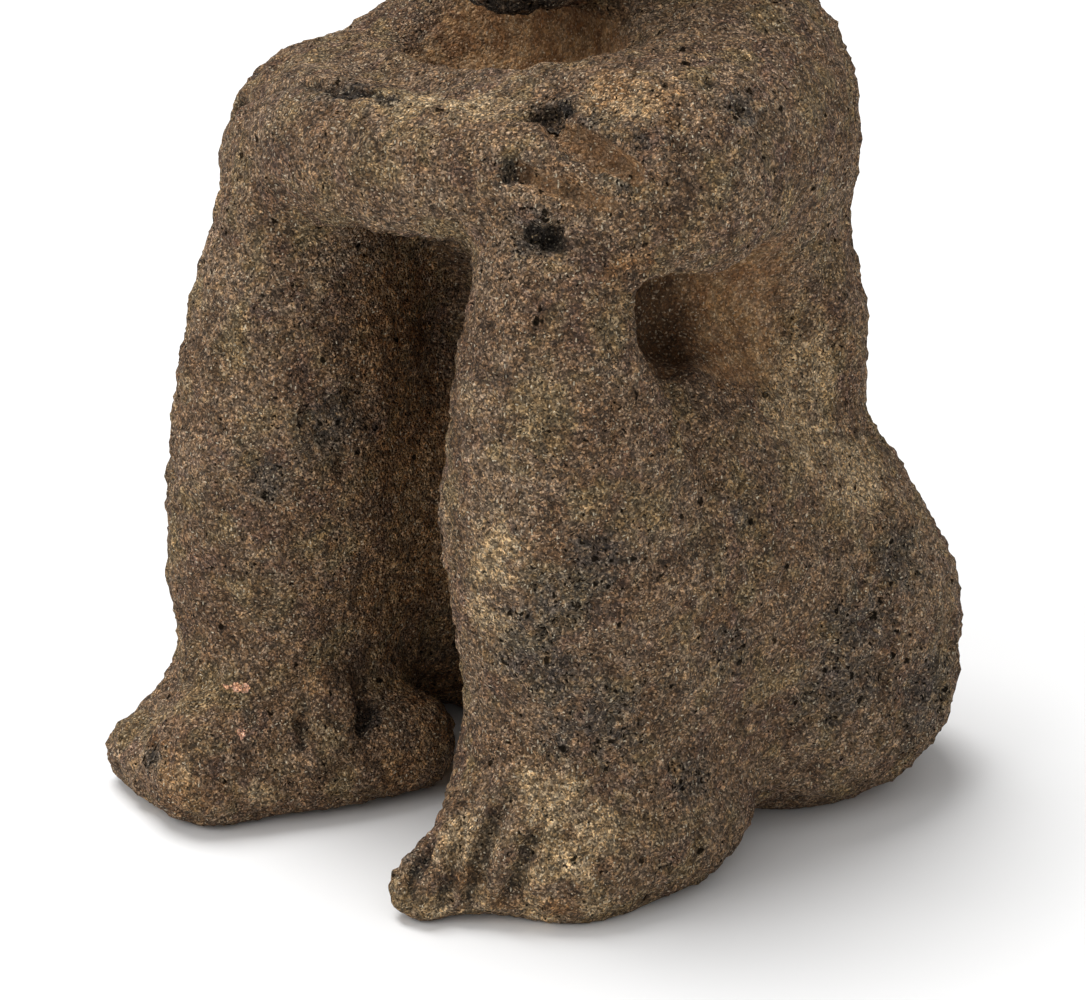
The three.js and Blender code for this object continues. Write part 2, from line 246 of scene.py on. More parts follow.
def taper(a, b):
    along = (b - a)[:3]
    square = float(along @ along)

    def field(p):
        dx = p[0] - a[0]
        dy = p[1] - a[1]
        dz = p[2] - a[2]
        t = np.clip((dx * along[0] + dy * along[1] + dz * along[2]) / square, 0, 1)
        dx = dx - t * along[0]
        dy = dy - t * along[1]
        dz = dz - t * along[2]
        return np.sqrt(dx * dx + dy * dy + dz * dz) - a[3] - t * (b[3] - a[3])

    return field


def centripetal(joints, place):
    """The point at place, from 0 to 1, on a smooth curve through the joints, and the thickness there."""
    last = len(joints) - 1
    i = min(int(place * last), last - 1)
    t = place * last - i
    one = joints[i]
    two = joints[i + 1]
    before = joints[i - 1] if i > 0 else 2 * one - two
    after = joints[i + 2] if i + 2 <= last else 2 * two - one
    knots = [np.linalg.norm((q - p)[:3]) ** 0.5 for p, q in ((before, one), (one, two), (two, after))]
    start = (one - before) / knots[0] - (two - before) / (knots[0] + knots[1]) + (two - one) / knots[1]
    end = (two - one) / knots[1] - (after - one) / (knots[1] + knots[2]) + (after - two) / knots[2]
    start = start * knots[1]
    end = end * knots[1]
    bend = 3 * (two - one) - 2 * start - end
    twist = 2 * (one - two) + start + end
    point = one + start * t + bend * t**2 + twist * t**3
    before_radius = before[3] if i > 0 else one[3]
    after_radius = after[3] if i + 2 <= last else two[3]
    slope_in = (two[3] - before_radius) / 2
    slope_out = (after_radius - one[3]) / 2
    gain = two[3] - one[3]
    point[3] = one[3] + slope_in * t + (3 * gain - 2 * slope_in - slope_out) * t**2
    point[3] += (slope_in + slope_out - 2 * gain) * t**3
    return point


def nearest(pieces):
    def field(p):
        d = pieces[0](p)
        for piece in pieces[1:]:
            d = np.minimum(d, piece(p))
        return d

    return field


def limb(*joints):
    """A rounded limb on a smooth curve through its joints."""
    steps = 6 * (len(joints) - 1)
    stops = [centripetal(joints, i / steps) for i in range(steps + 1)]
    return nearest([taper(a, b) for a, b in zip(stops, stops[1:])])


def crease(joints):
    """The tool of a groove, which runs straight from joint to joint."""
    return nearest([taper(a, b) for a, b in zip(joints, joints[1:])])


def bow(middle, end):
    return limb(joint_on(-1, end), middle, end)


def meet(a, b, softness):
    near = np.maximum(softness - np.abs(a - b), 0)
    return np.minimum(a, b) - near * near / (4 * softness)


def blend(softness, *fields):
    def field(p):
        d = fields[0](p)
        for other in fields[1:]:
            d = meet(d, other(p), softness)
        return d

    return field


def carve(softness, whole, *tools):
    def field(p):
        d = whole(p)
        for tool in tools:
            d = -meet(-d, tool(p), softness)
        return d

    return field


def haunch(side):
    return blend(FIRM, lump(egg_on(side, BOTH_SIDES["haunch"])), lump(egg_on(side, BOTH_SIDES["seat"])))


def leg(limbs):
    side = limbs["side"]
    thigh = taper(*[joint_on(side, end) for end in BOTH_SIDES["thigh"]])
    lap = taper(*[joint_on(side, end) for end in BOTH_SIDES["lap"]])
    calf_muscle = lump(egg_on(side, BOTH_SIDES["calf_muscle"]))
    return blend(MEDIUM, limb(*limbs["leg"]), thigh, lap, calf_muscle)


def foot(limbs):
    toes = limbs["toes"]
    rays = [taper(limbs["instep"], toe) for toe in (toes[0], toes[-1])]
    return blend(FIRM, lump(limbs["foot"]), *rays, limb(*toes), limb(*limbs["foot_side"]))


def under_arm_tools():
    """What cuts the recess under each arm: its mouth, the slot along the arm, and the knee's pocket."""
    mouths = [taper(*ends) for ends in on_both_sides(UNDER_ARM)]
    slots = [lump(form) for form in on_both_sides(UNDER_ARM_SLOT)]
    pockets = [taper(*ends) for ends in on_both_sides(KNEE_POCKET)]
    return mouths, slots, pockets


def body():
    trunk = blend(SOFT, lump(TRUNK["hips"]), lump(TRUNK["belly"]), lump(TRUNK["chest"]))
    upper_arms = [limb(*limbs["upper_arm"]) for limbs in (LEFT, RIGHT)]
    shoulders = blend(SOFT, trunk, haunch(1), haunch(-1), *upper_arms)
    legs = blend(MEDIUM, shoulders, leg(LEFT), leg(RIGHT))
    feet = blend(FIRM, legs, foot(LEFT), foot(RIGHT))
    fore_arms = [limb(*limbs["fore_arm"], *limbs["hand"]) for limbs in (LEFT, RIGHT)]
    arms = blend(FIRM, feet, blend(CRISP, *fore_arms), lump(TRUNK["lap"]))
    mouths, slots, pockets = under_arm_tools()
    behind_knees = [limb(*ends) for ends in on_both_sides(BEHIND_KNEE)]
    hollowed = carve(CRISP, arms, lump(BEHIND_ARMS), *pockets, *behind_knees)
    return carve(FINE, hollowed, *mouths, *slots)


def hair():
    cap = lump(FACE["hair"])
    nape = FACE["nape_edge"]
    edge = nape - FACE["forehead_edge"]
    fall = np.array((-edge[2], edge[1])) / math.hypot(edge[1], edge[2])

    def field(p):
        return np.maximum(cap(p), -((p[1] - nape[1]) * fall[0] + (p[2] - nape[2]) * fall[1]))

    return field


def head():
    def pair(name):
        return [lump(form) for form in on_both_sides(FACE[name])]

    skull = blend(FIRM, lump(FACE["cranium"]), lump(FACE["jaw"]), lump(FACE["chin"]))
    nose = blend(FINE, taper(*FACE["nose"]), *pair("nose_wing"))
    face = blend(CRISP, skull, bow(FACE["brow"], FACE["brow_end"]), nose)
    upper_lip = bow(FACE["upper_lip"], FACE["upper_lip_end"])
    lower_lip = bow(FACE["lower_lip"], FACE["lower_lip_end"])
    lips = blend(SHARP, upper_lip, lower_lip)
    finished = blend(SHARP, carve(CRISP, face, *pair("eye_socket")), *pair("eye"), lips)
    neck = carve(CRISP, taper(*FACE["neck"]), lump(BEHIND_ARMS))
    return blend(CRISP, neck, blend(FINE, finished, hair(), *pair("ear")))


# The small carving. A groove is cut as deep as the radius of its joints, which are moved onto the skin.
GROOVES = {
    "toe_1": (
        joint(36.2, -98.6, 22.5, 0.6),
        joint(37.2, -101.7, 20, 1.3),
        joint(38, -104.8, 17.5, 1.9),
        joint(38.4, -107.4, 13.5, 2.1),
        joint(38.6, -109.5, 8, 1.8),
    ),
    "toe_2": (
        joint(42.7, -95.8, 26.2, 0.7),
        joint(44.1, -99, 22.8, 1.4),
        joint(45.2, -102.5, 18.2, 1.9),
        joint(45.5, -104.7, 13.2, 1.9),
        joint(45, -106.5, 8.5, 2.1),
        joint(44.6, -107.5, 4.5, 1.6),
    ),
    "toe_3": (
        joint(53.8, -91, 31, 0.7),
        joint(51.2, -96.4, 25.6, 2.2),
        joint(50.8, -99.5, 20.7, 2.8),
        joint(50.6, -101.2, 16.9, 2.8),
        joint(50.1, -102.3, 12.3, 2.0),
        joint(49.5, -103.5, 7.7, 2.2),
        joint(49.2, -104.5, 4.5, 1.6),
    ),
    "toe_4": (
        joint(61.2, -91.4, 26, 0.7),
        joint(60.4, -94.3, 22.5, 1.8),
        joint(59.7, -96.1, 19.6, 2.2),
        joint(58.4, -97.4, 13.3, 2.1),
        joint(56.3, -98.4, 8, 1.9),
        joint(55.5, -99.4, 4.5, 1.4),
    ),
    "left_hand": (
        joint(-63, -64, 158, 4.2),
        joint(-60, -68, 161, 3.4),
        joint(-56, -69.8, 164, 1.8),
        joint(-47, -73, 167, 1.2),
        joint(-41, -75.8, 168.8, 1.3),
        joint(-29, -78.1, 172.8, 1.1),
        joint(-16.8, -79, 174.9, 2.0),
        joint(-8.8, -80.6, 175.1, 2.6),
        joint(2.3, -79.3, 175.8, 1.8),
    ),
    "ankle": (joint(-21.6, -85.7, 29, 0.8), joint(-19, -88.3, 23.5, 1.8), joint(-16.6, -92, 19.1, 0.9)),
    "ankle_front": (
        joint(-17.4, -69, 30, 1.6),
        joint(-14.5, -72.5, 25, 2.8),
        joint(-11, -77, 20.5, 1.8),
    ),
    "right_toes": (joint(-45.1, -112, 17.5, 1.6), joint(-41, -114.5, 14.5, 0.8)),
    "hand_pit": (
        joint(38.6, -72.5, 175.3, 1.6),
        joint(41.2, -69.6, 176.6, 3.4),
        joint(45.6, -68.4, 177.4, 2.0),
    ),
    "finger_pit": (joint(42.4, -82.6, 165.9, 2.4), joint(44.5, -81.4, 165.7, 1.6)),
    "knuckle_pit": (joint(54, -76.9, 163.4, 2.0), joint(55.5, -76.3, 162.8, 1.5)),
    "wrist_pit": (joint(49, -82, 154, 1.8), joint(52, -80.9, 152.9, 2.6), joint(55, -79.8, 151.9, 1.4)),
    "shoulder_pit": (joint(72, -42.6, 176.6, 1.6), joint(71.4, -41.5, 177.6, 1.3)),
    "shoulder_pits": (
        joint(65.7, -45.4, 182.5, 1.5),
        joint(68.6, -48.6, 180.2, 0.8),
        joint(69.3, -50.4, 179.2, 1.2),
    ),
}
WORN_GROOVES = {
    "finger_1": (
        joint(45.4, -72, 174.6, 2.2),
        joint(52.6, -71.8, 172.1, 2.6),
        joint(58.5, -70.3, 169.7, 2.6),
        joint(64.5, -67.6, 167, 1.9),
    ),
    "finger_2": (
        joint(43.9, -81.4, 166.2, 1.8),
        joint(49.7, -79.4, 164.3, 1.8),
        joint(55.5, -76.5, 162.6, 1.7),
        joint(62.5, -72.3, 160.3, 0.8),
    ),
}
RIDGES = {
    "finger_1": (
        joint(45.4, -65, 175.5, 3.5),
        joint(53, -65, 174.5, 4.2),
        joint(61, -64, 172.5, 4.2),
        joint(67, -62.5, 169.5, 3.2),
    ),
    "finger_2": (
        joint(44, -74.5, 169.5, 3.5),
        joint(52, -72.5, 166.5, 4.2),
        joint(60, -69.5, 162.5, 3.8),
        joint(65, -67, 160, 2.6),
    ),
    "finger_3": (
        joint(40, -81, 161.7, 3.6),
        joint(47.5, -78, 160, 4.2),
        joint(55, -74, 158, 4.0),
        joint(61, -70, 155.5, 2.8),
    ),
    "toe_2": (
        joint(40.3, -96.5, 22.6, 3),
        joint(41.2, -102.6, 15.2, 3.5),
        joint(41.3, -103.8, 7.4, 3.2),
    ),
    "toe_3": (
        joint(48, -93.4, 26.4, 3),
        joint(47.8, -98.2, 20.4, 3.4),
        joint(48, -100.8, 13.6, 3.6),
        joint(47.2, -101, 7, 3.2),
    ),
    "toe_4": (
        joint(57, -90.5, 25.4, 3),
        joint(55.6, -93.8, 20.6, 3.6),
        joint(53.6, -97, 14.6, 3.6),
        joint(51.8, -97.4, 6.8, 3),
    ),
    "right_ankle": (
        joint(-19.8, -79.6, 30, 5.4),
        joint(-17.8, -79.6, 25, 5.4),
        joint(-16.8, -80.6, 19, 5),
    ),
    "left_knuckles": (joint(-55, -62, 163, 5), joint(-43, -62, 168, 5), joint(-36, -56, 170, 4)),
}


def plain():
    ridges = [crease(joints) for joints in RIDGES.values()]
    return blend(CRISP / 2, blend(FINE, body(), head()), *ridges)


def laid_on(field, groove):
    """The groove's joints, moved onto the skin of the field."""
    rows = np.array(groove).T
    for _ in range(LAYING_PASSES):
        here, slope = slope_of(field, rows[:3])
        rows[:3] -= slope * here / np.maximum((slope * slope).sum(0), FLATTEST)
    return rows.T


def whole():
    solid = plain()
    lines = [ends for line in FACE_LINES.values() for ends in on_both_sides(line)]
    grooves = (*GROOVES.values(), *WORN_GROOVES.values(), *lines)
    grooved = carve(SHARP, solid, *[crease(laid_on(solid, groove)) for groove in grooves])
    return lambda p: np.maximum(grooved(p), -p[2])


# The skin of a field, drawn on a grid of cubes. Each cube that the skin passes gets one vertex, and each
# grid edge that the skin crosses gets a quad between the four cubes around it.
COARSE = 4  # fine cells to a coarse one
BAND = 14.0  # the field is worked out finely this far from the skin
LAYING_PASSES = 4
SETTLING_PASSES = 2
FLATTEST = 0.1  # the square of the least slope that a point is moved along
CORNERS = np.array([(c & 1, c >> 1 & 1, c >> 2) for c in range(8)])
EDGES = [(a, b) for a in range(8) for b in range(a + 1, 8) if abs(CORNERS[a] - CORNERS[b]).sum() == 1]


def sample(field, low, high, cell):
    """The field at each point of the fine grid. Far from the skin it has the nearest coarse value."""
    coarse_counts = np.ceil((high - low) / (cell * COARSE)).astype(int) + 1
    counts = (coarse_counts - 1) * COARSE + 1
    axes = [low[a] + cell * COARSE * np.arange(coarse_counts[a]) for a in range(3)]
    points = np.stack([g.ravel() for g in np.meshgrid(*axes, indexing="ij")]).astype(np.float32)
    coarse = field(points).reshape(coarse_counts)
    value = coarse[np.ix_(*[(np.arange(n) + COARSE // 2) // COARSE for n in counts])]
    fine = np.nonzero(np.abs(value) < BAND)
    points = np.stack([low[a] + cell * fine[a] for a in range(3)]).astype(np.float32)
    value[fine] = field(points)
    return value


def skin(field, low, high, cell):
    value = sample(field, low, high, cell)
    inside = value < 0
    shape = np.array(inside.shape) - 1
    corner_inside = [inside[a : a + shape[0], b : b + shape[1], c : c + shape[2]] for a, b, c in CORNERS]
    total = sum(flags.astype(np.int8) for flags in corner_inside)
    cubes = np.nonzero((total > 0) & (total < 8))
    corner_value = [value[cubes[0] + a, cubes[1] + b, cubes[2] + c] for a, b, c in CORNERS]
    place = np.zeros((3, len(cubes[0])))
    crossings = np.zeros(len(cubes[0]))
    for a, b in EDGES:
        va = corner_value[a]
        vb = corner_value[b]
        crossed = (va < 0) != (vb < 0)
        t = np.where(crossed, va / np.where(crossed, va - vb, 1), 0)
        for axis in range(3):
            along = CORNERS[a][axis] + t * (CORNERS[b][axis] - CORNERS[a][axis])
            place[axis] += np.where(crossed, along, 0)
        crossings += crossed
    place = place / crossings + np.stack(cubes)
    points = place * cell + low[:, None]

    number = np.full(shape, -1, np.int32)
    number[cubes] = np.arange(len(cubes[0]))
    quads = []
    for axis in range(3):
        u, v = (axis + 1) % 3, (axis + 2) % 3
        here = np.moveaxis(inside, (axis, u, v), (0, 1, 2))
        cube = np.moveaxis(number, (axis, u, v), (0, 1, 2))
        start = here[:-1, 1:-1, 1:-1]
        end = here[1:, 1:-1, 1:-1]
        i, j, k = np.nonzero(start != end)
        ring = np.stack([cube[i, j + 1, k + 1], cube[i, j, k + 1], cube[i, j, k], cube[i, j + 1, k]], 1)
        outward = start[i, j, k]
        quads.append(np.where(outward[:, None], ring, ring[:, ::-1]))
    return points, np.concatenate(quads)


def slope_of(field, points):
    """The field and the direction in which it grows, at each point."""
    step = CELL / 10
    here = field(points)
    ahead = []
    for axis in range(3):
        moved = points.copy()
        moved[axis] += step
        ahead.append((field(moved) - here) / step)
    return here, np.stack(ahead)


def settle(field, points):
    """Moves the points along the field's slope onto the skin."""
    for _ in range(SETTLING_PASSES):
        here, slope = slope_of(field, points)
        square = np.maximum((slope * slope).sum(0), FLATTEST)
        points = points - slope * np.clip(here / square, -CELL / 4, CELL / 4)
    return points


# Roughness of the skin: soft random heights, and pits where bubbles in the stone were opened.
LATTICE = 32
RANDOM = np.random.default_rng(SEED)
HEIGHTS = RANDOM.uniform(-1, 1, (4, LATTICE, LATTICE, LATTICE)).astype(np.float32)


def bumps(points, size, which):
    """Smooth random heights from -1 to 1, about size millimetres apart."""
    q = points / size
    base = np.floor(q).astype(int)
    t = q - base
    t = t * t * (3 - 2 * t)
    total = np.zeros(points.shape[1])
    for corner in CORNERS:
        weight = np.prod(np.where(corner[:, None] == 1, t, 1 - t), axis=0)
        i, j, k = (base + corner[:, None]) % LATTICE
        total += weight * HEIGHTS[which, i, j, k]
    return total


def smoothstep(edge_0, edge_1, value):
    t = np.clip((value - edge_0) / (edge_1 - edge_0), 0, 1)
    return t * t * (3 - 2 * t)


def distance(points, place):
    return np.linalg.norm(points - np.array(place)[:, None], axis=0)


def patches(points, places):
    """How much each point lies in the given soft patches, each a place and a radius, from 0 to 1."""
    amount = np.zeros(points.shape[1])
    for *middle, radius in places:
        amount = np.maximum(amount, 1 - smoothstep(0, PATCH_REACH * radius, distance(points, middle)))
    return amount


def near(points, grooves, reach):
    """How close each point is to any of the given grooves: 1 inside it, 0 beyond its reach."""
    return 1 - smoothstep(0, reach, nearest([crease(joints) for joints in grooves.values()])(points))


# Places and radii of the patches: where the stone is dark and pitted, blackened, ochre, pale, and freshly
# chipped. Some are painted light and shade, as each table's note says.
# The first two dark patches, under the chin, are painted shadow, and the next two, on the left wall of the
# hollow behind the arms, are painted shade; the rest are darker stone.
DARK_STONE_AND_SHADE = (
    (6, -42, 190, 13), (-4, -44, 190, 10), (-36, -26, 172, 8), (-34, -30, 166, 6), (84, -14, 40, 20),
    (80, 14, 30, 22), (70, -48, 60, 14), (-30, -96, 20, 10), (42, -69, 177, 8), (-10, -81, 174, 11),
    (5, -80, 176, 7), (49, -82, 154, 9), (43, -82, 166, 5), (54, -92, 66, 14), (69, -83, 86, 13),
    (67, -80, 48, 16), (82, -9, 54, 17), (82, 6, 65, 14), (63, -89, 77, 12), (-28, -90, 83, 8),
    (-18, -77, 95, 13), (-12, -73, 24, 6), (75, -43, 87, 5), (72, -41, 177, 9), (-43, -115, 17, 7),
    (60, -86, 58, 12), (-60, -20, 120, 20), (-80, 10, 50, 22), (53, -69, 177, 4), (60, -68, 175.4, 4.5),
    (65, -66.6, 173.5, 4), (53, -75.4, 169.7, 3), (59, -72.7, 167.2, 3), (64, -70, 165, 3),
    (75, -59, 30, 9), (60, -86, 43, 8), (37, -106, 12, 6), (30, 45, 110, 24), (-35, 46, 60, 26),
    (40, 50, 30, 20), (-20, 38, 170, 20),
)
# Blackened spots in the carved pits and grooves; the last three, under the chin, are painted shadow.
BLACKENED = (
    (39.5, -71.5, 175.8, 3.2), (43, -68.5, 177.2, 3.4), (46.5, -68.6, 177.4, 2.4), (48.5, -82, 154, 3),
    (52, -80.9, 152.9, 3.6), (54.8, -79.8, 152, 2.6), (-16.5, -70.5, 28, 3.6),
    (-14.3, -72.7, 24.3, 4.4), (-11.5, -76.5, 21.2, 3.4), (-21, -86.3, 27, 2.2),
    (-19, -88.3, 23.5, 2.6), (-17, -91, 20, 2), (-8.8, -80.6, 175.1, 2.8), (2.3, -79.3, 175.8, 2.4),
    (42.4, -82.6, 165.9, 2.4), (54.5, -76.7, 163.3, 1.9), (72, -42.6, 176.6, 2),
    (65.7, -45.4, 182.5, 2.2), (69.3, -50.4, 179.2, 1.4), (4, -42, 188, 9), (-6, -44, 189, 8),
    (12, -38, 190, 7),
)
OCHRE = (
    (51, -30, 128, 10), (51, -35, 122, 10), (49, -35, 131, 9), (58, -32, 118, 12), (-3, -30, 170, 26),
    (-17, -52, 83, 30), (-18, -52, 55, 34), (-30, -30, 12, 22), (0, -24, 100, 34), (0, -30, 60, 34),
    (-17, -55, 115, 26), (54, -76, 163, 8), (63, -71, 147, 5), (65, -67, 148, 5), (52, -60, 182, 10),
    (62, -59, 180, 8), (48, -104, 12, 5), (54, -99, 6, 6), (66, -92, 5, 6), (-20, -82, 33, 6),
    (-33, -113, 12, 10), (-38, -114.7, 20, 4), (-46, -111.6, 19, 4), (-10, -59, 23, 12),
    (-3, -59, 17, 10), (-5, -70, 10, 9), (12, -60, 140, 24),
)
# Lighter patches: dust, and painted light, on the top of the left foot where light falls and on the inner
# side of the right leg where light is bounced
PALE_DUST_AND_LIGHT = (
    (48.5, -103.4, 14, 4.5), (49, -102, 9, 4), (43.3, -106.5, 6, 5), (52.6, -100.2, 5, 6),
    (60, -92.3, 3, 6), (71, -85, 6, 5), (46, -100, 18, 10), (60, -92, 16, 9), (60, -89, 30, 10),
    (70, -84, 24, 8), (68, -91, 18, 7), (48, -95, 84, 8), (44.7, -93.4, 69, 8), (51, -95, 90, 7),
    (49, -62, 181, 6), (55, -61.5, 181, 7), (61, -60.5, 180, 6), (72, 2, 83, 16), (-20, -52, 75, 14),
    (-18, -52, 60, 16), (66, -12, 97, 15), (62, -8, 110, 15), (12, -78, 176, 9), (24, -74, 176, 10),
    (-31, -115, 15, 5), (-20, -102, 11, 4),
)
FRESH = (
    (-36.2, -97, 31, 1.2), (-33.8, -96, 31.2, 1.4), (-32, -94.8, 31.2, 1.6), (-25.6, -101.8, 24.1, 1.7),
)
PATCHES = {"dark": DARK_STONE_AND_SHADE, "worn": OCHRE, "blackened": BLACKENED, "dust_and_painted_light": PALE_DUST_AND_LIGHT, "fresh": FRESH}
PATCH_REACH = 1.3  # where a patch has faded out, in its radii

# How far from the forms the marks of each kind of place fade: from fully there to gone
HOLLOW_EDGE = (1, 5)
CHIN_EDGE = (CHIN_HEIGHT - 4, CHIN_HEIGHT + 1)  # the hollow's marks stop at the chin
RECESS_EDGE = (1, 3)
RECESS_REACH = (26, 44)
RECESS_WORN = 0.8  # how much a recess is worn, as a share of the hollow
UNDER_ARM_CORNER = joint(51, -43, 126, 24)  # with the reach of the painted shade around it
PAINTED_SHADE_CORE = 6
CHANNEL_EDGE = 1.0
CLEFT_EDGE = 1.1
CLEFT_DEPTH = (0.4, 1.8)
SMOOTH_REACH = 4
FACE_MIDDLE = np.array((0.0, FACE_FRONT, HEAD[2] - 6))
FACE_REACH = np.array((30.0, 26.0, 36.0))
FACE_EDGE = (0.7, 1.1)

# Random heights: sizes across, and how far they move the skin
BROAD_BUMPS = ((17, 0.5), (7, 0.5))
FINE_BUMPS = ((3.7, 0.6), (2.3, 0.55))
GRIT_HEIGHT = 0.38
SMOOTHED = 0.6  # how much less rough the skin is in hollows, beside grooves and on the face
PITS = 700
PIT_RADIUS = (1.6, 2.8)
PIT_DEPTH = 0.55  # of its radius
PIT_CHANCE = 0.1
PIT_CHANCE_IN_DARK = 2.0
DEEPEST = 2.5
SEAT_EDGE = 3.0  # the skin turns smooth this far above the ground


def masks_of(points):
    """How much each point belongs to each kind of place, from 0 to 1."""
    hollow = 1 - smoothstep(*HOLLOW_EDGE, lump(BEHIND_ARMS)(points))
    hollow *= 1 - smoothstep(*CHIN_EDGE, points[2])
    mouths, slots, pockets = under_arm_tools()
    cut = nearest([*mouths, *slots, *pockets])(points)
    corners = [corner[:3] for (corner,) in on_both_sides([UNDER_ARM_CORNER])]
    corner_gap = np.minimum(*[distance(points, corner) for corner in corners])
    recess = (1 - smoothstep(*RECESS_EDGE, cut)) * (1 - smoothstep(*RECESS_REACH, corner_gap))
    masks = {
        "hollow": np.maximum(hollow, RECESS_WORN * recess),
        "channel": near(points, WORN_GROOVES, CHANNEL_EDGE),
        # black deep in the grooves: grime, and painted shade where the groove's walls shade it
        "cleft_grime_and_shade": smoothstep(*CLEFT_DEPTH, -plain()(points)) * near(points, GROOVES, CLEFT_EDGE),
        # painted shade: the stone is darkened towards the corner under each arm, where the arm and the
        # knee shade it
        "painted_shade": 1 - smoothstep(PAINTED_SHADE_CORE, UNDER_ARM_CORNER[3], corner_gap),
    }
    for name, places in PATCHES.items():
        masks[name] = patches(points, places)
    return masks


def rough_heights(points, masks):
    """How far the grain of the stone moves each point out of or into the skin."""
    kinds = [height * bumps(points, size, i) for i, (size, height) in enumerate(BROAD_BUMPS + FINE_BUMPS)]
    broad = sum(kinds[:len(BROAD_BUMPS)])
    fine = sum(kinds[len(BROAD_BUMPS):])
    fine += RANDOM.uniform(-GRIT_HEIGHT, GRIT_HEIGHT, points.shape[1])
    height = broad + fine * (1 - SMOOTHED * np.maximum(masks["hollow"], masks["channel"]))
    height = height * (1 - SMOOTHED * near(points, GROOVES, SMOOTH_REACH))
    from_face = np.linalg.norm((points - FACE_MIDDLE[:, None]) / FACE_REACH[:, None], axis=0)
    return height * (1 - SMOOTHED * (1 - smoothstep(*FACE_EDGE, from_face)))


def open_bubbles(points, masks, height):
    """Lowers the points inside each opened bubble of the stone. Most are where the stone is dark."""
    tree = KDTree(points.shape[1])
    for number, point in enumerate(points.T):
        tree.insert(point, number)
    tree.balance()
    likely = PIT_CHANCE + PIT_CHANCE_IN_DARK * masks["dark"] * (1 - masks["hollow"])
    likely = likely / likely.sum()
    for start in RANDOM.choice(points.shape[1], PITS, replace=False, p=likely):
        radius = RANDOM.uniform(*PIT_RADIUS)
        for _, number, gap in tree.find_range(points[:, start], radius):
            height[number] -= PIT_DEPTH * radius * (1 - (gap / radius) ** 2)


def roughen(field, points):
    """Moves the points in and out, and returns them with the masks that the material uses."""
    _, slope = slope_of(field, points)
    normal = slope / np.maximum(np.linalg.norm(slope, axis=0), 1e-3)
    masks = masks_of(points)
    height = rough_heights(points, masks)
    open_bubbles(points, masks, height)
    height = np.maximum(height, -DEEPEST) * smoothstep(0, SEAT_EDGE, points[2])
    moved = points + normal * height
    moved[2] = np.maximum(moved[2], 0)
    return moved, masks


def make_figure():
    field = whole()
    points, quads = skin(field, BOX_LOW, BOX_HIGH, CELL)
    points = settle(field, points)
    points, masks = roughen(field, points)
    box_low, box_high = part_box(NODE)
    unit = box_high.z / HEIGHT
    middle = (points.min(1) + points.max(1)) / 2 * unit
    centre_x = (box_low.x + box_high.x) / 2
    centre_y = (box_low.y + box_high.y) / 2
    shift = np.array((centre_x - middle[0], centre_y - middle[1], 0))
    mesh = bpy.data.meshes.new("figure_stone")
    mesh.from_pydata((points.T * unit + shift).tolist(), [], quads.tolist())
    for name, amount in masks.items():
        mesh.attributes.new(name, "FLOAT", "POINT").data.foreach_set("value", amount.astype(np.float32))
    mesh.shade_smooth()
    figure = bpy.data.objects.new("figure_stone", mesh)
    bpy.context.scene.collection.objects.link(figure)
    return figure, unit, shift


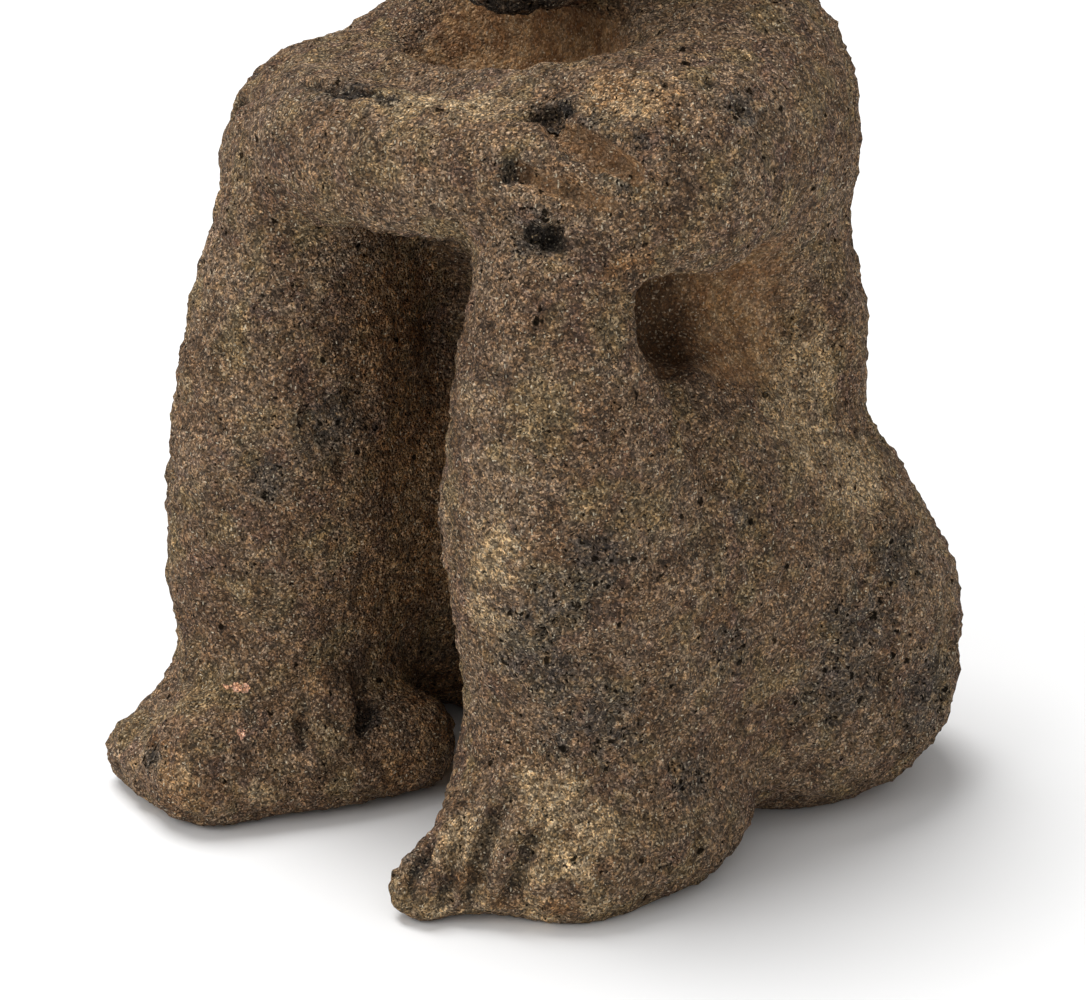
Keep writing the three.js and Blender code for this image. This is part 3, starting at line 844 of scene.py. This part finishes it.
class Nodes:
    """Builds one material's nodes, whose sizes are in millimetres."""

    def __init__(self, name):
        self.material = bpy.data.materials.new(name)
        self.material.use_nodes = True
        self.tree = self.material.node_tree
        self.shader = self.tree.nodes["Principled BSDF"]
        where = self.tree.nodes.new("ShaderNodeTexCoord")
        scale = self.tree.nodes.new("ShaderNodeVectorMath")
        scale.operation = "SCALE"
        scale.inputs["Scale"].default_value = 1 / MM
        self.link(where.outputs["Object"], scale.inputs[0])
        self.place = scale.outputs[0]

    def link(self, output, socket):
        self.tree.links.new(output, socket)

    def put(self, value, socket):
        if isinstance(value, bpy.types.NodeSocket):
            self.link(value, socket)
        else:
            socket.default_value = value

    def attribute(self, name):
        node = self.tree.nodes.new("ShaderNodeAttribute")
        node.attribute_name = name
        return node.outputs["Fac"]

    def noise(self, size, detail, roughness):
        node = self.tree.nodes.new("ShaderNodeTexNoise")
        node.inputs["Scale"].default_value = 1 / size
        node.inputs["Detail"].default_value = detail
        node.inputs["Roughness"].default_value = roughness
        self.link(self.place, node.inputs["Vector"])
        return node.outputs["Fac"]

    def warp(self, size, amount):
        """Bends the place that later nodes read, so that their round shapes turn ragged."""
        node = self.tree.nodes.new("ShaderNodeTexNoise")
        node.inputs["Scale"].default_value = 1 / size
        node.inputs["Detail"].default_value = 0
        self.link(self.place, node.inputs["Vector"])
        bend = self.tree.nodes.new("ShaderNodeVectorMath")
        bend.operation = "MULTIPLY_ADD"
        self.link(node.outputs["Color"], bend.inputs[0])
        bend.inputs[1].default_value = (amount, amount, amount)
        self.link(self.place, bend.inputs[2])
        self.place = bend.outputs[0]

    def cells(self, size):
        """Random cells: the distance from a cell's middle, and two random numbers for the cell."""
        node = self.tree.nodes.new("ShaderNodeTexVoronoi")
        node.inputs["Scale"].default_value = 1 / size
        self.link(self.place, node.inputs["Vector"])
        split = self.tree.nodes.new("ShaderNodeSeparateColor")
        self.link(node.outputs["Color"], split.inputs[0])
        return node.outputs["Distance"], split.outputs[0], split.outputs[1]

    def laths(self, size):
        """Sparse long crystals that lie three ways: where they are, and a random number for the first."""
        place = self.place
        where = None
        tint = None
        for layer in LATH_LAYERS:
            node = self.tree.nodes.new("ShaderNodeMapping")
            node.inputs["Rotation"].default_value = layer["turn"]
            node.inputs["Scale"].default_value = layer["stretch"]
            self.link(place, node.inputs["Vector"])
            self.place = node.outputs[0]
            gap, pick, number = self.cells(size)
            lath = self.math("MULTIPLY", self.fade("lath_pick", pick), self.fade("lath_body", gap))
            where = lath if where is None else self.math("MAXIMUM", where, lath)
            tint = number if tint is None else tint
        self.place = place
        return where, tint

    def math(self, operation, a, b):
        node = self.tree.nodes.new("ShaderNodeMath")
        node.operation = operation
        self.put(a, node.inputs[0])
        self.put(b, node.inputs[1])
        return node.outputs[0]

    def between(self, value, low, high, to_low=0.0, to_high=1.0):
        node = self.tree.nodes.new("ShaderNodeMapRange")
        node.interpolation_type = "SMOOTHSTEP"
        self.put(value, node.inputs["Value"])
        ends = {"From Min": low, "From Max": high, "To Min": to_low, "To Max": to_high}
        for socket, number in ends.items():
            node.inputs[socket].default_value = number
        return node.outputs[0]

    def fade(self, name, value):
        return self.between(value, *FADES[name])

    def cloud(self, name):
        """The clouds of the noise and the fade of that name."""
        return self.fade(name, self.noise(*NOISES[name]))

    def patch(self, name, fray):
        """The mesh's patches of that name, with the fray added to make their edges ragged."""
        return self.fade(name, self.math("ADD", self.attribute(name), fray))

    def mix(self, amount, a, b, blend="MIX"):
        node = self.tree.nodes.new("ShaderNodeMix")
        node.data_type = "RGBA"
        node.blend_type = blend
        self.put(amount, node.inputs["Factor"])
        colour_a, colour_b = [socket for socket in node.inputs if socket.type == "RGBA"]
        self.put(a if isinstance(a, bpy.types.NodeSocket) else (*a, 1), colour_a)
        self.put(b if isinstance(b, bpy.types.NodeSocket) else (*b, 1), colour_b)
        return [socket for socket in node.outputs if socket.type == "RGBA"][0]

    def grey(self, value):
        node = self.tree.nodes.new("ShaderNodeCombineColor")
        for socket in node.inputs:
            self.link(value, socket)
        return node.outputs[0]


# The stone's colours
BROWN = (0.168, 0.102, 0.057)
ASH = (0.21, 0.141, 0.086)
OLIVE = (0.2, 0.14, 0.068)
PLUM = (0.138, 0.081, 0.054)
UMBER = (0.092, 0.054, 0.03)
SLATE = (0.066, 0.06, 0.05)
RUST = (0.19, 0.092, 0.034)
TAN = (0.3, 0.175, 0.08)
SAND = (0.33, 0.2, 0.11)
# the pale colour of the dust and of the painted light
DUST_AND_PAINTED_LIGHT = (0.4, 0.285, 0.16)
SALMON = (0.85, 0.46, 0.29)
# painted shade for the corner under each arm
PAINTED_SHADE_BROWN = (0.055, 0.026, 0.009)
CRYSTAL = (0.95, 0.82, 0.6)
AMBER = (0.5, 0.33, 0.15)
BLACK = (0.01, 0.008, 0.006)
WARM = (1.12, 1.0, 0.84)
COOL = (0.94, 1.0, 1.12)


# Noise of the stone: its size in millimetres, its detail and its roughness
NOISES = {
    "ragged": (5, 3, 0.65),
    "ash": (24, 2, 0.6),
    "plum": (9, 2, 0.65),
    "olive": (13, 2, 0.65),
    "umber": (11, 2, 0.65),
    "tan": (4, 1, 0.5),
    "mottle": (1.8, 2, 0.65),
}

# What a value from 0 to 1 is turned into: it rises between the first two numbers, from 0 to 1 or from the
# third to the fourth
FADES = {
    "ash": (0.38, 0.62),
    "plum": (0.5, 0.66, 0, 0.8),
    "olive": (0.48, 0.66, 0, 0.8),
    "umber": (0.5, 0.68, 0, 0.75),
    "tan": (0.4, 0.6),
    "worn": (0.25, 1.0, 0, 0.75),
    "dark": (0.3, 0.9),
    "dust_and_painted_light": (0.1, 0.9, 0, 0.85),
    "channel": (0.35, 0.65, 0, 0.85),
    "painted_shade": (0.1, 1.0, 0, 0.95),
    "blackened": (0.2, 0.6, 0, 0.62),
    "fresh": (0.3, 0.5, 0, 0.9),
    "worn_contrast": (0, 1, 1.0, 0.5),
    "grit_tint": (0.2, 0.8),
    "bright_grain": (0.88, 0.96, 0, 0.14),
    "lath_pick": (0.8, 0.82),
    "lath_body": (0.15, 0.25, 1, 0),
    "lath_amber": (0.1, 0.5),
    "lath_in_hollow": (0, 0.8, 0.75, 0.3),
    "lath_roughness": (0, 1, 0.93, 0.5),
    "pore_body": (0.32, 0.46, 1, 0),
    "pore_in_hollow": (0.2, 0.6, 1, 0.1),
    "pore_specular": (0, 1, 0.3, 0),
    "relief_in_hollow": (0.2, 0.7, 1, 0.4),
}

RAGGED = 2.6  # how ragged the patches' edges are
FRAYED = 0.3  # the same for the small patches, as a share of it
PAINTED_SHADE_FRAYED = 0.4
SLATE_MOST = 0.62
HOLLOW_STAINED = 0.75
# how black the deep part of the grooves is painted: grime, and painted shade
CLEFT_GRIME_AND_SHADE = 0.7

# The grain: sizes in millimetres, how strongly each kind lightens and darkens the stone, and its relief
LATH_SIZE = 0.85
LATH_LAYERS = (
    {"turn": (0.6, 0.3, 0.2), "stretch": (1, 1, 0.33)},
    {"turn": (0.2, 0.9, 1.1), "stretch": (0.33, 1, 1)},
    {"turn": (1.3, 0.2, 0.5), "stretch": (1, 0.33, 1)},
)
GRAIN = {"size": 0.42, "contrast": 2.8, "relief": 0.6}
GRIT = {"size": 0.9, "contrast": 1.1, "relief": 1.1}
MOTTLE = {"contrast": 2.8, "relief": 4.0}
MEAN_SPECKLE = 3.2
GRAIN_WARP = {"size": 0.9, "amount": 0.4}
PORE_WARP = {"size": 1.1, "amount": 1.2}
PORES = (
    {"size": 1.0, "rare": 0.88, "more_in_dark": 0.5},
    {"size": 2.4, "rare": 0.93, "more_in_dark": 0.4},
)
PORE_SOFT = 0.05
PORE_WIDTHS = 0.25
PORE_BLACK = 0.93
PORE_RELIEF = 1.5
TINTED = 0.7


def patched(n, ragged, dark):
    """The stone's colour without its grain: clouds of brown, then its patches, with painted light in some
    lighter ones, painted shade under the chin and in the corners under the arms, and grime with painted
    shade in the clefts.
    """
    frayed = n.math("MULTIPLY", ragged, FRAYED)
    base = n.mix(n.cloud("ash"), BROWN, ASH)
    base = n.mix(n.cloud("plum"), base, PLUM)
    base = n.mix(n.cloud("olive"), base, OLIVE)
    base = n.mix(n.cloud("umber"), base, UMBER)
    base = n.mix(n.math("MULTIPLY", dark, SLATE_MOST), base, SLATE)
    stained = n.mix(n.cloud("tan"), RUST, TAN)
    # lighter patches: dust, and painted light
    base = n.mix(n.patch("dust_and_painted_light", ragged), base, DUST_AND_PAINTED_LIGHT)
    base = n.mix(n.patch("worn", ragged), base, stained)
    base = n.mix(n.math("MULTIPLY", n.attribute("hollow"), HOLLOW_STAINED), base, stained)
    base = n.mix(n.patch("channel", frayed), base, n.mix(0.5, stained, SAND))
    # painted shade in the corner under each arm
    base = n.mix(n.patch("painted_shade", n.math("MULTIPLY", ragged, PAINTED_SHADE_FRAYED)), base, PAINTED_SHADE_BROWN)
    # black deep in the grooves: grime, and painted shade
    base = n.mix(n.math("MULTIPLY", n.attribute("cleft_grime_and_shade"), CLEFT_GRIME_AND_SHADE), base, BLACK)
    # blackened pits and grooves, and the painted shadow under the chin
    base = n.mix(n.patch("blackened", frayed), base, BLACK)
    return n.mix(n.patch("fresh", frayed), base, SALMON)


def pores(n, dark, hollow):
    """Round pores of two sizes, more of them where the stone is dark and few in the hollows."""
    found = None
    for kind in PORES:
        gap, pick, width = n.cells(kind["size"])
        often = n.math("ADD", pick, n.math("MULTIPLY", dark, kind["more_in_dark"]))
        body = n.fade("pore_body", n.math("ADD", gap, n.math("MULTIPLY", width, PORE_WIDTHS)))
        pore = n.math("MULTIPLY", n.between(often, kind["rare"], kind["rare"] + PORE_SOFT), body)
        found = pore if found is None else n.math("MAXIMUM", found, pore)
    return n.math("MULTIPLY", found, n.fade("pore_in_hollow", hollow))


def stone():
    n = Nodes("volcanic_stone")
    ragged = n.math("MULTIPLY", n.math("SUBTRACT", n.noise(*NOISES["ragged"]), 0.5), RAGGED)
    dark = n.patch("dark", ragged)
    hollow = n.attribute("hollow")
    worn_smooth = n.math("MAXIMUM", hollow, n.attribute("channel"))
    base = patched(n, ragged, dark)

    lath, lath_tint = n.laths(LATH_SIZE)
    n.warp(**GRAIN_WARP)
    grain_gap, grain_pick, _ = n.cells(GRAIN["size"])
    grit_gap, grit_pick, grit_tint = n.cells(GRIT["size"])
    mottle = n.noise(*NOISES["mottle"])
    speckle = n.math("MULTIPLY", grain_pick, GRAIN["contrast"])
    speckle = n.math("ADD", speckle, n.math("MULTIPLY", grit_pick, GRIT["contrast"]))
    speckle = n.math("ADD", speckle, n.math("MULTIPLY", mottle, MOTTLE["contrast"]))
    speckle = n.math("SUBTRACT", speckle, MEAN_SPECKLE)
    speckle = n.math("MULTIPLY", speckle, n.fade("worn_contrast", worn_smooth))
    base = n.mix(1.0, base, n.grey(n.math("POWER", 2.0, speckle)), "MULTIPLY")
    base = n.mix(TINTED, base, n.mix(n.fade("grit_tint", grit_tint), WARM, COOL), "MULTIPLY")
    base = n.mix(n.fade("bright_grain", grain_pick), base, CRYSTAL)
    lath_colour = n.mix(n.fade("lath_amber", lath_tint), AMBER, CRYSTAL)
    base = n.mix(n.math("MULTIPLY", lath, n.fade("lath_in_hollow", hollow)), base, lath_colour)
    n.warp(**PORE_WARP)
    pore = pores(n, dark, hollow)
    base = n.mix(n.math("MULTIPLY", pore, PORE_BLACK), base, BLACK)

    height = n.math("MULTIPLY", n.math("SUBTRACT", grain_pick, grain_gap), GRAIN["relief"])
    grit_height = n.math("MULTIPLY", n.math("SUBTRACT", grit_pick, grit_gap), GRIT["relief"])
    height = n.math("ADD", height, grit_height)
    height = n.math("ADD", height, n.math("MULTIPLY", mottle, MOTTLE["relief"]))
    height = n.math("SUBTRACT", height, n.math("MULTIPLY", pore, PORE_RELIEF))
    height = n.math("MULTIPLY", height, n.fade("relief_in_hollow", hollow))
    bump = n.tree.nodes.new("ShaderNodeBump")
    bump.inputs["Strength"].default_value = 1.0
    bump.inputs["Distance"].default_value = MM
    n.link(height, bump.inputs["Height"])
    n.link(bump.outputs[0], n.shader.inputs["Normal"])
    n.link(base, n.shader.inputs["Base Color"])
    n.link(n.fade("lath_roughness", lath), n.shader.inputs["Roughness"])
    n.link(n.fade("pore_specular", pore), n.shader.inputs["Specular IOR Level"])
    return n.material


# The floor
FLOOR_WIDTH = 8.0
FLOOR_COLOUR = (0.9, 0.9, 0.9, 1)
FLOOR_ROUGHNESS = 0.85
FLOOR_SPECULAR = 0.1


def paper():
    n = Nodes("white_floor")
    n.shader.inputs["Base Color"].default_value = FLOOR_COLOUR
    n.shader.inputs["Roughness"].default_value = FLOOR_ROUGHNESS
    n.shader.inputs["Specular IOR Level"].default_value = FLOOR_SPECULAR
    return n.material


def make_floor(width):
    mesh = bpy.data.meshes.new("floor")
    half = width / 2
    corners = [(-half, -half, 0), (half, -half, 0), (half, half, 0), (-half, half, 0)]
    mesh.from_pydata(corners, [], [(0, 1, 2, 3)])
    floor = bpy.data.objects.new("floor", mesh)
    floor.data.materials.append(paper())
    bpy.context.scene.collection.objects.link(floor)
    return floor


def aim(thing, place, target):
    thing.location = place
    thing.rotation_euler = (Vector(target) - Vector(place)).to_track_quat("-Z", "Y").to_euler()


# The photograph's camera: the way it looks at the figure, and where the middle of its frame falls.
AZIMUTH = math.radians(43)
ELEVATION = math.radians(20)
DISTANCE = 850.0
PHOTO_WIDTH = 1086
PIXELS_PER_MM = 4.0  # at the figure
FRAME_WIDTH = PHOTO_WIDTH / PIXELS_PER_MM
MIDDLE_RIGHT = -17.0
MIDDLE_UP = 57.5
CAMERA_ORIGIN = np.array((0.0, -1.8, 0.0))
SENSOR = 36.0
NEAREST_SEEN = 10.0


def camera_axes():
    right = np.array((math.cos(AZIMUTH), math.sin(AZIMUTH), 0))
    back = np.array((
        math.sin(AZIMUTH) * math.cos(ELEVATION),
        -math.cos(AZIMUTH) * math.cos(ELEVATION),
        math.sin(ELEVATION),
    ))
    return right, back, np.cross(back, right)


def make_camera(unit, shift):
    right, back, up = camera_axes()
    look = CAMERA_ORIGIN + right * MIDDLE_RIGHT + up * MIDDLE_UP
    camera = bpy.data.objects.new("camera", bpy.data.cameras.new("camera"))
    camera.data.sensor_width = SENSOR
    camera.data.lens = SENSOR * DISTANCE / FRAME_WIDTH
    camera.data.clip_start = NEAREST_SEEN * MM
    aim(camera, (look + back * DISTANCE) * unit + shift, look * unit + shift)
    bpy.context.scene.collection.objects.link(camera)
    bpy.context.scene.camera = camera


# Each lamp shines from a direction: to the right, towards the camera, and up. Its spread is the width of
# the lit part of the studio in degrees, and its strength is in watts to the square metre.
LAMPS = {
    "key": {"place": (-0.5, -0.5, 2.2), "spread": 36, "strength": 2.4},
    "side": {"place": (-1.6, 0.9, 0.9), "spread": 50, "strength": 0.95},
    "front": {"place": (0.3, 1.6, 0.7), "spread": 80, "strength": 0.45},
}
SKY = 0.36


def light_studio():
    right, back, _ = camera_axes()
    for name, lamp in LAMPS.items():
        to_right, to_camera, above = lamp["place"]
        sun = bpy.data.lights.new(name, "SUN")
        sun.energy = lamp["strength"]
        sun.angle = math.radians(lamp["spread"])
        light = bpy.data.objects.new(name, sun)
        place = to_right * right + to_camera * back + above * np.array((0, 0, 1.0))
        aim(light, Vector(place), (0, 0, 0))
        bpy.context.scene.collection.objects.link(light)
    world = bpy.data.worlds.new("studio")
    world.use_nodes = True
    world.node_tree.nodes["Background"].inputs["Color"].default_value = (1, 1, 1, 1)
    world.node_tree.nodes["Background"].inputs["Strength"].default_value = SKY
    bpy.context.scene.world = world
    bpy.context.scene.view_settings.view_transform = "Standard"


figure, unit, shift = make_figure()
figure.data.materials.append(stone())
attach(figure, "root")
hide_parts(NODE)
make_floor(FLOOR_WIDTH)
make_camera(unit, shift)
light_studio()
